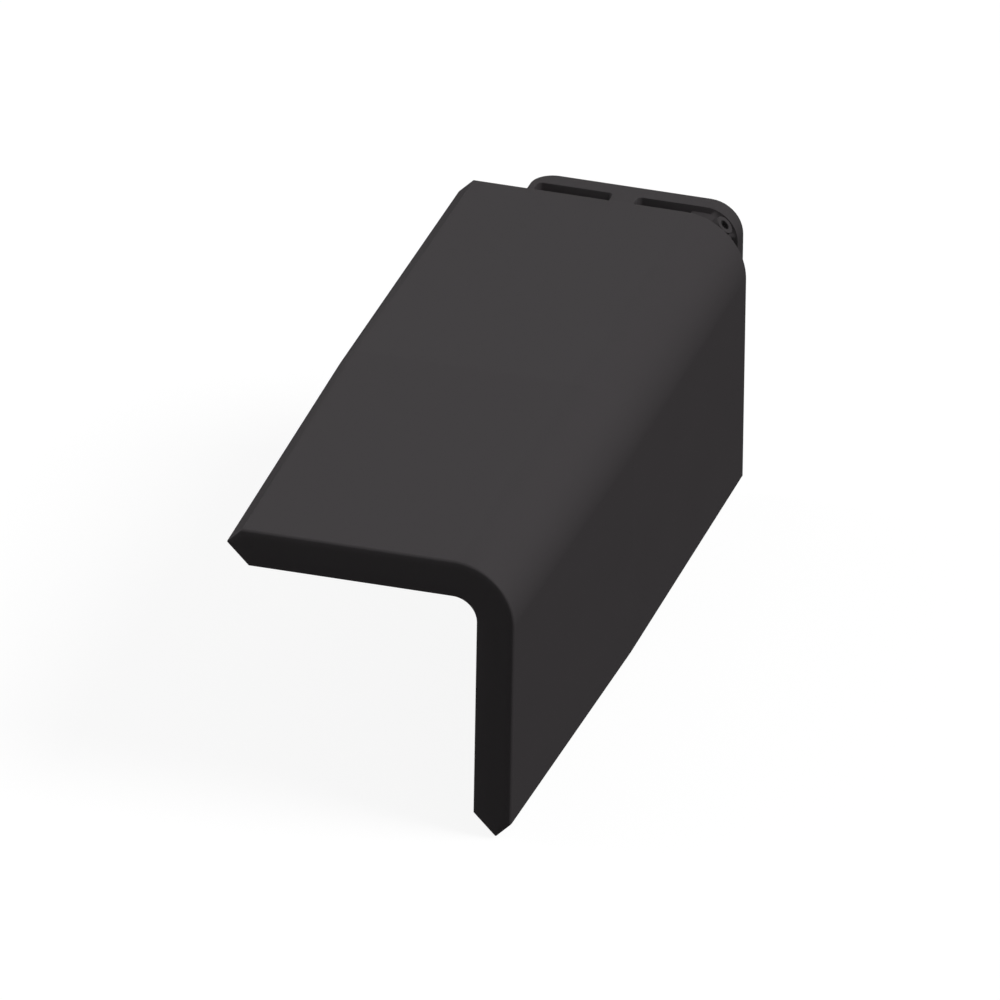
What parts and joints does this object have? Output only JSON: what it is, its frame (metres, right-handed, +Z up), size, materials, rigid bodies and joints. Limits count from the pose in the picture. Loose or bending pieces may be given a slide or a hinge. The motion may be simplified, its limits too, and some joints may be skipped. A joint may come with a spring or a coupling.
{
  "type": "roof verge trim",
  "caption": "Moulded L-section trim that covers a roof's edge and barge board, with a rounded corner, bevelled tips, a crowned skin and a windowed lap tongue with a screw hole.",
  "frame": {"origin": "centre of the face that lies on the roof, at half the body's length", "axes": "+X out over the barge board, +Y up the roof slope from the nose to the lap tongue, +Z up off the roof"},
  "size_m": [0.1533, 0.4501, 0.1533],
  "materials": {
    "moulded_plastic": "fine moulded grain, satin"
  },
  "bodies": {
    "root": {"verge_trim": "moulded_plastic"}
  },
  "joints": []
}
